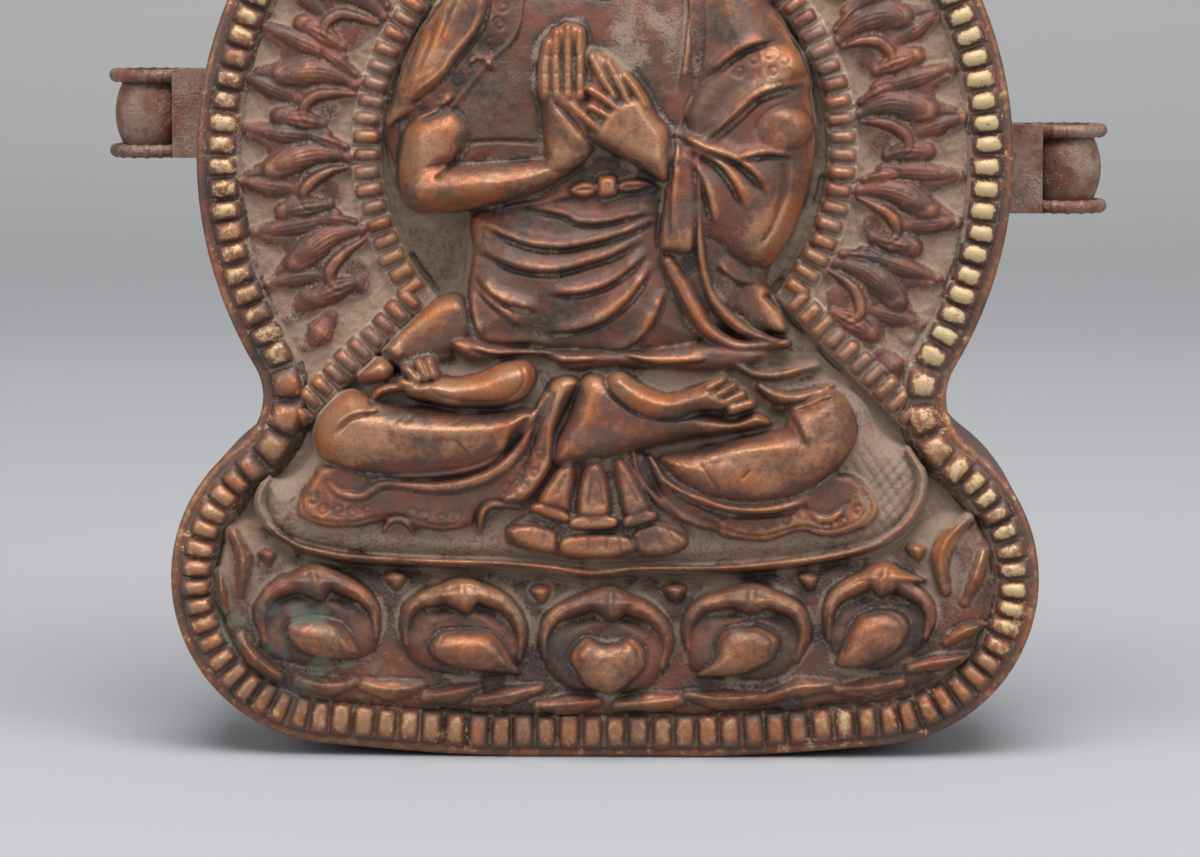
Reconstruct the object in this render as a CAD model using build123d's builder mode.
from build123d import *
import os
from collections import namedtuple
from math import asin, atan2, cos, degrees, hypot, radians, sin, sqrt

# Ghau amulet box in millimetres: a copper tray and a cover that slides off its collar.
# +Z is up, the front faces -Y, and the origin is on the foot, under the middle of the depth.

# Outline of the box, seen from the front
CROWN_RADIUS = 51.1
CROWN_HEIGHT = 75.6
ARCH_RADIUS = 72.0
ARCH_START = 38.0
TIP_RADIUS = 10.0
WAIST_RADIUS = 7.5
HEEL_RADIUS = 21.1
HEEL_SPREAD = 33.7
BELLY_RADIUS = 344.0
FOOT_WIDTH = 24.0

# Sheet and fits
SHEET = 0.8
SLIDE_FIT = 0.15
SEAM = 0.2
WINDOW_FIT = 0.3
EDGE_ROUND = 0.3

# Depths, from the back
TRAY_DEPTH = 14.0
COLLAR_GRIP = 8.0
COLLAR_REACH = 9.5
SKIRT_DEPTH = 11.2

# Rim around the face and its beads
RIM_WIDTH = 5.5
RIM_RISE = 1.0
RIM_ROUND = 0.7
RIM_LIP = 1.4
RIM_BEAD_LENGTH = 3.7
RIM_BEAD_WIDTH = 3.1
RIM_BEAD_PITCH = 2.9

# Window in the face and the beads beside it
NIMBUS_RADIUS = 27.8
NIMBUS_HEIGHT = 76.9
HALO_RADIUS = 13.2
HALO_HEIGHT = 106.0
THROAT_HALF = 18.0
WAIST_LAND = 4.3
SHOULDER_HEIGHT = 41.5
WINDOW_BEAD_LENGTH = 3.5
WINDOW_BEAD_WIDTH = 2.4
WINDOW_BEAD_PITCH = 2.2

# Flames on the face
FLAME_RISE = 1.4
FLAME_BASE = 8.0
FLAME_LEAN = 5.0
FLAME_BELLY = 2.6
FLAME_HOLLOW = 1.0
FLAME_GAP = 0.6
FLAME_FIRST = -40.0
FLAME_STEP = 17.2
FLAMES_A_SIDE = 8

# Plaque
PLAQUE_FLANGE = 1.8
SEAT_HEIGHT = 24.0
MODULE = 1.0
MAT_HALF = 42.5
MAT_DROP = 0.5
MAT_HALF_HEIGHT = 11.5
MAT_RISE = 3.8
PETAL_RADIUS = 6.2
PETAL_GIRTH = 2.8
PETAL_CREST = 5.6
PETAL_LAP = 1.0
PETAL_STOPS = (200.0, 145.0, 90.0, 35.0, -20.0)

# Bent clips that hold the plaque behind the face
CLIP_WIDTH = 4.0
CLIP_SHEET = 0.6
CLIP_GAP = 0.1
CLIP_BITE = 1.2
CLIP_BELLY_ANGLE = -86.5
CLIP_HEEL_ANGLE = 0.0
CLIP_NIMBUS_ANGLE = 10.0
CLIP_HALO_ANGLE = 45.0

# Strap loops
LOOP_REACH = 13.3
LOOP_TALL = 11.3
LOOP_BORE_RADIUS = 3.0
LOOP_WALL = 0.5
LOOP_BULGE = 1.0
LOOP_WIRE = 1.6
LOOP_BEAD = 1.8
LOOP_BEADS = 16
LOOP_GAP = 0.1
LOOP_CHEEK = 8.6
LOOP_STATION = 7.0
LEFT_LOOP_HEIGHT = 80.7
RIGHT_LOOP_HEIGHT = 73.7

# Places along the depth that follow from the sizes above
SKIRT_BACK = TRAY_DEPTH + SEAM
FACE_BACK = SKIRT_BACK + SKIRT_DEPTH
FACE_FRONT = FACE_BACK + SHEET
FLANGE_BACK = FACE_BACK - SHEET
COLLAR_OUTSET = SHEET + SLIDE_FIT

# Rounded forms of the plaque on the figure's own grid: modules from the middle of the seat,
# across and up, with the girth and how far the form stands in front of the face
Form = namedtuple("Form", "start end girth crest hollow")
FORMS = (
    # Body, shoulders and robe
    Form((0, 20), (0, 79), 44, 6.8, True),
    Form((-7.5, 24), (-7.5, 60), 20, 6.6, True),
    Form((4, 24), (4, 60), 24, 7.0, True),
    Form((-25, 63), (25, 63), 30, 6.8, True),
    Form((-24.5, 69), (24.5, 69), 22, 6.4, True),
    Form((-10.5, 80), (-21, 56), 12, 7.6, True),
    Form((16, 79), (18.3, 36), 17, 8.0, True),
    Form((10, 53), (11.5, 37.5), 5, 8.2, False),
    Form((8, 40.5), (23.5, 27.5), 4, 6.6, False),
    # Arms and hands
    Form((-22, 62), (-22.5, 44.5), 7, 8.0, False),
    Form((-25.5, 47.5), (-1, 53), 5.2, 9.0, False),
    Form((-4.5, 49.5), (-4.8, 63), 6, 10.0, False),
    Form((-5, 58), (-5, 68.5), 5, 10.4, False),
    Form((6.5, 49), (1, 61), 7, 11.0, False),
    Form((5, 57), (-1, 65.5), 4.5, 10.4, False),
    # Lap, hems and the cloth between the legs
    Form((-29, 24.5), (-14, 35), 9, 4.8, False),
    Form((12, 29.5), (29, 23.5), 5, 6.0, False),
    Form((-39, 8), (-8, 7.5), 8, 5.4, False),
    Form((7, 8), (34.5, 7.5), 8, 5.4, False),
    Form((-4, 25), (-11, 8), 5, 7.0, False),
    Form((-3.5, 14.5), (-7.5, 6), 4, 7.0, False),
    Form((-1.5, 14.5), (-1, 5.5), 5.5, 7.6, False),
    Form((1.8, 14.5), (5, 6), 4, 7.0, False),
    Form((-12.5, 3.6), (10.8, 3.6), 3.4, 5.8, False),
    # Legs and feet
    Form((-37, 16.5), (-11.5, 17), 9, 9.0, False),
    Form((6.5, 13), (31, 14.5), 8.5, 9.0, False),
    Form((24, 20.5), (30.5, 12), 9, 8.6, False),
    Form((-6.5, 18), (19, 18.5), 8, 8.2, False),
    Form((-25.5, 23), (-8.3, 24.3), 5.5, 9.7, False),
    Form((0, 23.3), (19, 22), 5.2, 9.8, False),
    # Neck, head and ears
    Form((0, 66), (0, 78), 10, 6.5, False),
    Form((0, 72.5), (0, 91), 14.5, 8.6, True),
    Form((0, 86), (0, 95.5), 8, 6.6, False),
    Form((-7, 75.5), (-7, 83.5), 3, 5.4, False),
    Form((7, 75.5), (7, 83.5), 3, 5.4, False),
    # Edge of the mat and the body of the throne
    Form((-40.5, 7.5), (-27, 0.8), 2, 5.0, False),
    Form((-28.5, 0.9), (0.9, -0.3), 2, 5.1, False),
    Form((-0.9, -0.3), (28.5, 0.9), 2, 5.1, False),
    Form((27, 0.8), (40.5, 7.5), 2, 5.0, False),
    Form((-60, -9.5), (60, -9.5), 34, 2.8, True),
    # Bosses of the petals, the turned petals below them and the side petals
    Form((-40.5, -8), (-30.5, -9), 5.4, 7.0, False),
    Form((-22.3, -9.8), (-10.5, -11.2), 5.4, 7.0, False),
    Form((-4.6, -12), (5.4, -12), 7, 7.0, False),
    Form((13, -11), (22.6, -9.7), 5.6, 7.0, False),
    Form((29.4, -9.8), (38.3, -7.6), 6.6, 7.0, False),
    Form((-40, -14.4), (-21, -15.2), 3.4, 3.6, False),
    Form((-23, -15.8), (-7, -15.6), 3.4, 3.8, False),
    Form((-9, -17), (11, -16.8), 3.4, 3.9, False),
    Form((10, -16.3), (30, -14.9), 3.4, 3.8, False),
    Form((28, -15), (39, -14.2), 3.4, 3.7, False),
    Form((-49, 6), (-45, -6), 7, 3.9, False),
    Form((47.5, 8), (42, -5), 7, 4.0, False),
)
PETALS = ((-36.1, -7.7), (-17.7, -9.3), (0.3, -10.3), (18.0, -9.9), (34.8, -7.1))
DEPTH = FACE_FRONT + MODULE * max(form.crest for form in FORMS)

Turn = namedtuple("Turn", "centre radius side start end")


def polar(centre, radius, angle):
    """Point at a distance and an angle in degrees from a centre."""
    return (centre[0] + radius * cos(radians(angle)), centre[1] + radius * sin(radians(angle)))


def bearing(origin, target):
    """Angle in degrees of the way from one point to another."""
    return degrees(atan2(target[1] - origin[1], target[0] - origin[0]))


def crossing(first, first_radius, second, second_radius):
    """The crossing of two circles that lies further to the right."""
    apart = hypot(second[0] - first[0], second[1] - first[1])
    along = (apart**2 + first_radius**2 - second_radius**2) / (2 * apart)
    off = sqrt(first_radius**2 - along**2)
    heading = bearing(first, second)
    foot = polar(first, along, heading)
    return max(polar(foot, off, heading + 90), polar(foot, off, heading - 90))


def station(depth):
    """Plane seen from the front, at a depth measured forward from the back of the box."""
    return Plane.XZ.offset(depth - DEPTH / 2)


def outline_turns():
    """Arcs of the right half of the outline, from the belly up to the tip."""
    belly = (0, sqrt(BELLY_RADIUS**2 - (FOOT_WIDTH / 2) ** 2))
    heel_drop = sqrt((BELLY_RADIUS - HEEL_RADIUS) ** 2 - HEEL_SPREAD**2)
    heel = (HEEL_SPREAD, belly[1] - heel_drop)
    crown = (0, CROWN_HEIGHT)
    waist = crossing(crown, CROWN_RADIUS + WAIST_RADIUS, heel, HEEL_RADIUS + WAIST_RADIUS)
    arch = polar(crown, CROWN_RADIUS - ARCH_RADIUS, ARCH_START)
    tip = (0, arch[1] + sqrt((ARCH_RADIUS - TIP_RADIUS) ** 2 - arch[0] ** 2))
    return (
        Turn(belly, BELLY_RADIUS, 1, None, bearing(belly, heel)),
        Turn(heel, HEEL_RADIUS, 1, bearing(belly, heel), bearing(heel, waist)),
        Turn(waist, WAIST_RADIUS, -1, bearing(heel, waist) + 180, bearing(crown, waist) + 180),
        Turn(crown, CROWN_RADIUS, 1, bearing(crown, waist), ARCH_START),
        Turn(arch, ARCH_RADIUS, 1, ARCH_START, bearing(arch, tip)),
        Turn(tip, TIP_RADIUS, 1, bearing(arch, tip), 90),
    )


def outline(inset):
    """Face of the box outline, drawn in by a distance all round."""
    with BuildSketch() as face:
        with BuildLine():
            corner = (0, inset)
            for turn in outline_turns():
                radius = turn.radius - turn.side * inset
                start = turn.start
                if start is None:
                    start = degrees(asin((inset - turn.centre[1]) / radius))
                    Line(corner, polar(turn.centre, radius, start))
                middle = (start + turn.end) / 2
                ThreePointArc(
                    polar(turn.centre, radius, start),
                    polar(turn.centre, radius, middle),
                    polar(turn.centre, radius, turn.end),
                )
            mirror(about=Plane.YZ)
        make_face()
    return face.sketch


def slope_line(spread):
    """Sum of across and up on the window's slope, which leaves a land at the waist."""
    waist = outline_turns()[2].centre
    return waist[0] + waist[1] - sqrt(2) * (WAIST_RADIUS + WAIST_LAND - spread)


def window(spread):
    """Face of the window in the front sheet, grown by a distance all round."""
    throat_height = slope_line(spread) - THROAT_HALF
    shoulder_half = slope_line(spread) - SHOULDER_HEIGHT
    with BuildSketch() as face:
        add(outline(RIM_WIDTH - spread))
        with Locations((0, SHOULDER_HEIGHT)):
            Rectangle(
                4 * CROWN_RADIUS,
                4 * CROWN_RADIUS,
                align=(Align.CENTER, Align.MIN),
                mode=Mode.SUBTRACT,
            )
        with BuildLine():
            Polyline(
                (-THROAT_HALF, throat_height),
                (THROAT_HALF, throat_height),
                (shoulder_half, SHOULDER_HEIGHT),
                (-shoulder_half, SHOULDER_HEIGHT),
                close=True,
            )
        make_face()
        with Locations((0, NIMBUS_HEIGHT)):
            Circle(NIMBUS_RADIUS + spread)
        with Locations((0, HALO_HEIGHT)):
            Circle(HALO_RADIUS + spread)
    return face.sketch


def window_bead_path():
    """Middle line of the beads beside the window, from the right shoulder over the halo."""
    half = WINDOW_BEAD_LENGTH / 2
    nimbus = (0, NIMBUS_HEIGHT)
    halo = (0, HALO_HEIGHT)
    body_radius = NIMBUS_RADIUS + half
    head_radius = HALO_RADIUS + half
    slope_sum = slope_line(half)
    slope_reach = (slope_sum - NIMBUS_HEIGHT) / sqrt(2)
    slope_meet = polar(nimbus, body_radius, 45 - degrees(asin(sqrt(1 - (slope_reach / body_radius) ** 2))))
    shoulder = (slope_sum - SHOULDER_HEIGHT, SHOULDER_HEIGHT)
    neck = crossing(nimbus, body_radius, halo, head_radius)
    with BuildLine() as path:
        Line(shoulder, slope_meet)
        body_middle = (bearing(nimbus, slope_meet) + bearing(nimbus, neck)) / 2
        ThreePointArc(slope_meet, polar(nimbus, body_radius, body_middle), neck)
        head_middle = (bearing(halo, neck) + 90) / 2
        ThreePointArc(neck, polar(halo, head_radius, head_middle), polar(halo, head_radius, 90))
        mirror(about=Plane.YZ)
    return Wire(path.edges())


def flame(angle):
    """One curved tongue that leans up from the nimbus, at an angle round the crown."""
    root = NIMBUS_RADIUS + WINDOW_BEAD_LENGTH
    run = CROWN_RADIUS - RIM_WIDTH - root
    low = (root, -FLAME_BASE / 2)
    high = (root, FLAME_BASE / 2)
    tip = (root + run, FLAME_LEAN)
    with BuildSketch() as tongue:
        with BuildLine():
            ThreePointArc(low, (root + run / 2, -FLAME_BELLY), tip)
            ThreePointArc(tip, (root + run / 2, FLAME_HOLLOW), high)
            Line(high, low)
        make_face()
    return tongue.sketch.rotate(Axis.Z, angle).moved(Location((0, CROWN_HEIGHT)))


def bead_row(path, pitch, length, width, depth):
    """Row of half-round beads that lie across a path on the plane at a depth."""
    count = 2 * round(path.length / pitch / 2)
    with BuildPart() as bead:
        Cylinder(width / 2, length - width, rotation=(0, 90, 0))
        with Locations((width / 2 - length / 2, 0, 0), (length / 2 - width / 2, 0, 0)):
            Sphere(width / 2)
        split(bisect_by=Plane.XY)
    with BuildPart() as row:
        places = []
        for index in range(count):
            share = (index + 0.5) / count
            spot = path.position_at(share)
            course = path.tangent_at(share)
            across = (course.Y, 0, -course.X)
            seat = Plane(origin=(spot.X, DEPTH / 2 - depth, spot.Y), x_dir=across, z_dir=(0, -1, 0))
            places.append(seat.location)
        with Locations(*places):
            add(bead.part)
    return row.part


def petal_rim(spot):
    """Forms that lap end to end round the upper side of one petal."""
    stops = [polar(spot, PETAL_RADIUS, angle) for angle in PETAL_STOPS]
    forms = []
    for start, end in zip(stops, stops[1:]):
        heading = bearing(start, end)
        foot = polar(start, -PETAL_LAP, heading)
        forms.append(Form(foot, polar(end, PETAL_LAP, heading), PETAL_GIRTH, PETAL_CREST, False))
    return forms


def swelling(form, skin, back):
    """Front of one round-ended form, thinner by a skin all round and cut off at a depth."""
    run = MODULE * hypot(form.end[0] - form.start[0], form.end[1] - form.start[1])
    girth = MODULE * form.girth
    across = MODULE * (form.start[0] + form.end[0]) / 2
    up = SEAT_HEIGHT + MODULE * (form.start[1] + form.end[1]) / 2
    axis_depth = FACE_FRONT + MODULE * form.crest - girth / 2
    along = Vector(form.end[0] - form.start[0], 0, form.end[1] - form.start[1])
    centre = (across, DEPTH / 2 - axis_depth, up)
    with BuildPart() as body:
        with BuildSketch(Plane(origin=centre, x_dir=along, z_dir=along.cross(Vector(0, 1, 0)))):
            SlotOverall(run - 2 * skin, girth - 2 * skin)
            Rectangle(run, girth, align=(Align.CENTER, Align.MAX), mode=Mode.SUBTRACT)
        revolve(axis=Axis(centre, along))
        split(bisect_by=station(back))
    return body.part


def save(part, name):
    """Label a finished piece and write it under its name."""
    part.label = name
    export_step(part, f"parts/{name}.step")


os.makedirs("parts", exist_ok=True)

# Tray: the back plate, its wall and the collar that the cover slides on
with BuildPart() as back_plate:
    with BuildSketch(station(0)):
        add(outline(0))
    extrude(amount=SHEET)
    fillet(back_plate.faces().sort_by(Axis.Y)[-1].edges(), EDGE_ROUND)
save(back_plate.part, "back_plate")

with BuildPart() as tray_wall:
    with BuildSketch(station(SHEET)):
        add(outline(0))
        add(outline(SHEET), mode=Mode.SUBTRACT)
    extrude(amount=TRAY_DEPTH - SHEET)
save(tray_wall.part, "tray_wall")

with BuildPart() as tray_collar:
    with BuildSketch(station(TRAY_DEPTH - COLLAR_GRIP)):
        add(outline(COLLAR_OUTSET))
        add(outline(COLLAR_OUTSET + SHEET), mode=Mode.SUBTRACT)
    extrude(amount=COLLAR_GRIP + COLLAR_REACH)
save(tray_collar.part, "tray_collar")

# Cover: the skirt and the face with its rim, window and flames
with BuildPart() as cover_skirt:
    with BuildSketch(station(SKIRT_BACK)):
        add(outline(0))
        add(outline(SHEET), mode=Mode.SUBTRACT)
    extrude(amount=SKIRT_DEPTH)
save(cover_skirt.part, "cover_skirt")

with BuildPart() as face_frame:
    with BuildSketch(station(FACE_BACK)):
        add(outline(0))
    extrude(amount=SHEET)
    with BuildSketch(station(FACE_FRONT)):
        add(outline(0))
        add(outline(RIM_WIDTH), mode=Mode.SUBTRACT)
    extrude(amount=RIM_RISE)
    rim_front = face_frame.faces().filter_by(Axis.Y).sort_by(Axis.Y)[0]
    fillet(rim_front.outer_wire().edges(), RIM_ROUND)
    with BuildSketch(station(FACE_FRONT)):
        for index in range(FLAMES_A_SIDE):
            tongue = flame(FLAME_FIRST + index * FLAME_STEP)
            add(tongue)
            add(tongue.mirror(Plane.YZ))
        add(window(WINDOW_BEAD_LENGTH + FLAME_GAP), mode=Mode.SUBTRACT)
        add(outline(RIM_WIDTH + FLAME_GAP), mode=Mode.INTERSECT)
    extrude(amount=FLAME_RISE)
    with BuildSketch(station(FACE_BACK)):
        add(window(0))
    extrude(amount=SHEET + RIM_RISE + FLAME_RISE, mode=Mode.SUBTRACT)
save(face_frame.part, "face_frame")

# Beaded wires on the rim and beside the window
rim_bead_middle = outline(RIM_LIP + RIM_BEAD_LENGTH / 2).wire()
rim_beads = bead_row(
    rim_bead_middle, RIM_BEAD_PITCH, RIM_BEAD_LENGTH, RIM_BEAD_WIDTH, FACE_FRONT + RIM_RISE
)
save(rim_beads, "outer_bead_border")

with BuildPart() as inner_bead_border:
    add(bead_row(window_bead_path(), WINDOW_BEAD_PITCH, WINDOW_BEAD_LENGTH, WINDOW_BEAD_WIDTH, FACE_FRONT))
    with BuildSketch(station(FACE_FRONT)):
        add(outline(RIM_WIDTH + SLIDE_FIT))
    extrude(amount=WINDOW_BEAD_WIDTH, mode=Mode.INTERSECT)
save(inner_bead_border.part, "inner_bead_border")

# Plaque: seated figure, mat and lotus throne in one sheet with a flange behind the face
with BuildPart() as plaque_hollow:
    for form in FORMS:
        if form.hollow:
            add(swelling(form, SHEET, FLANGE_BACK - SHEET))
    with BuildSketch(station(FLANGE_BACK - SHEET)):
        add(window(-WINDOW_FIT - SHEET))
    extrude(amount=DEPTH, mode=Mode.INTERSECT)

with BuildPart() as figure_plaque:
    for form in FORMS:
        add(swelling(form, 0, FLANGE_BACK))
    for spot in PETALS:
        for form in petal_rim(spot):
            add(swelling(form, 0, FLANGE_BACK))
    with BuildSketch(station(FLANGE_BACK)):
        with Locations((0, SEAT_HEIGHT + MODULE * (MAT_HALF_HEIGHT - MAT_DROP))):
            SlotOverall(2 * MODULE * MAT_HALF, 2 * MODULE * MAT_HALF_HEIGHT)
    extrude(amount=2 * SHEET + MODULE * MAT_RISE)
    with BuildSketch(station(FLANGE_BACK)):
        add(window(-WINDOW_FIT))
    extrude(amount=DEPTH, mode=Mode.INTERSECT)
    with BuildSketch(station(FLANGE_BACK)):
        add(window(PLAQUE_FLANGE))
    extrude(amount=SHEET)
    add(plaque_hollow.part, mode=Mode.SUBTRACT)
save(figure_plaque.part, "figure_plaque")

# Clips: each stands on the back of the face and is bent over the flange
belly, heel = outline_turns()[:2]
flange_inset = RIM_WIDTH - PLAQUE_FLANGE
clip_leg = SHEET + CLIP_GAP
clip_seats = (
    (belly.centre, belly.radius - flange_inset, CLIP_BELLY_ANGLE),
    (heel.centre, heel.radius - flange_inset, CLIP_HEEL_ANGLE),
    ((0, NIMBUS_HEIGHT), NIMBUS_RADIUS + PLAQUE_FLANGE, CLIP_NIMBUS_ANGLE),
    ((0, HALO_HEIGHT), HALO_RADIUS + PLAQUE_FLANGE, CLIP_HALO_ANGLE),
)
with BuildPart() as plaque_clips:
    for centre, radius, angle in clip_seats:
        spot = polar(centre, radius, angle)
        outward = Vector(cos(radians(angle)), 0, sin(radians(angle)))
        seat = Plane(
            origin=(spot[0], DEPTH / 2 - FACE_BACK, spot[1]),
            x_dir=outward,
            z_dir=outward.cross(Vector(0, 1, 0)),
        )
        with BuildSketch(seat):
            with Locations((CLIP_GAP, 0)):
                Rectangle(CLIP_SHEET, clip_leg, align=(Align.MIN, Align.MIN))
            with Locations((-CLIP_BITE, clip_leg)):
                Rectangle(CLIP_BITE + CLIP_GAP + CLIP_SHEET, CLIP_SHEET, align=(Align.MIN, Align.MIN))
        extrude(amount=CLIP_WIDTH / 2, both=True)
    mirror(about=Plane.YZ)
save(plaque_clips.part, "plaque_clips")

# Strap loops: a barrel with a beaded wire round each end, on a saddle against the wall
loop_end_radius = LOOP_BORE_RADIUS + LOOP_WALL
loop_rim_radius = loop_end_radius + LOOP_GAP + LOOP_WIRE / 2
loop_outer_radius = loop_rim_radius + LOOP_BEAD / 2
loop_axis_reach = CROWN_RADIUS + LOOP_REACH - loop_outer_radius
loop_top = LOOP_TALL / 2
bulge_top = loop_top - LOOP_WIRE
rim_shift = loop_top - LOOP_WIRE / 2
for side, name, height in ((-1, "left", LEFT_LOOP_HEIGHT), (1, "right", RIGHT_LOOP_HEIGHT)):
    loop_centre = (side * loop_axis_reach, DEPTH / 2 - LOOP_STATION, height)
    with BuildPart() as loop_barrel:
        with BuildSketch(Plane(origin=loop_centre, x_dir=(1, 0, 0), z_dir=(0, -1, 0))):
            with BuildLine():
                Polyline(
                    (loop_end_radius, -bulge_top),
                    (loop_end_radius, -loop_top),
                    (LOOP_BORE_RADIUS, -loop_top),
                    (LOOP_BORE_RADIUS, loop_top),
                    (loop_end_radius, loop_top),
                    (loop_end_radius, bulge_top),
                )
                ThreePointArc(
                    (loop_end_radius, bulge_top),
                    (loop_end_radius + LOOP_BULGE, 0),
                    (loop_end_radius, -bulge_top),
                )
            make_face()
        revolve(axis=Axis(loop_centre, (0, 0, 1)))
    save(loop_barrel.part, f"{name}_loop_barrel")
    for end, shift in (("upper", rim_shift), ("lower", -rim_shift)):
        with BuildPart(Plane(origin=loop_centre).offset(shift)) as loop_rim:
            Torus(loop_rim_radius, LOOP_WIRE / 2)
            with PolarLocations(loop_rim_radius, LOOP_BEADS):
                Sphere(LOOP_BEAD / 2)
            Cylinder(loop_end_radius + LOOP_GAP, LOOP_TALL, mode=Mode.SUBTRACT)
        save(loop_rim.part, f"{name}_loop_{end}_rim")
    with BuildPart(Plane(origin=loop_centre)) as loop_saddle:
        with Locations((-side * loop_outer_radius, 0, 0)):
            Box(2 * loop_outer_radius, LOOP_CHEEK, LOOP_TALL)
        Cylinder(loop_outer_radius + LOOP_GAP, LOOP_TALL, mode=Mode.SUBTRACT)
        with BuildSketch(station(0)):
            add(outline(-LOOP_GAP))
        extrude(amount=DEPTH, mode=Mode.SUBTRACT)
    save(loop_saddle.part, f"{name}_loop_saddle")
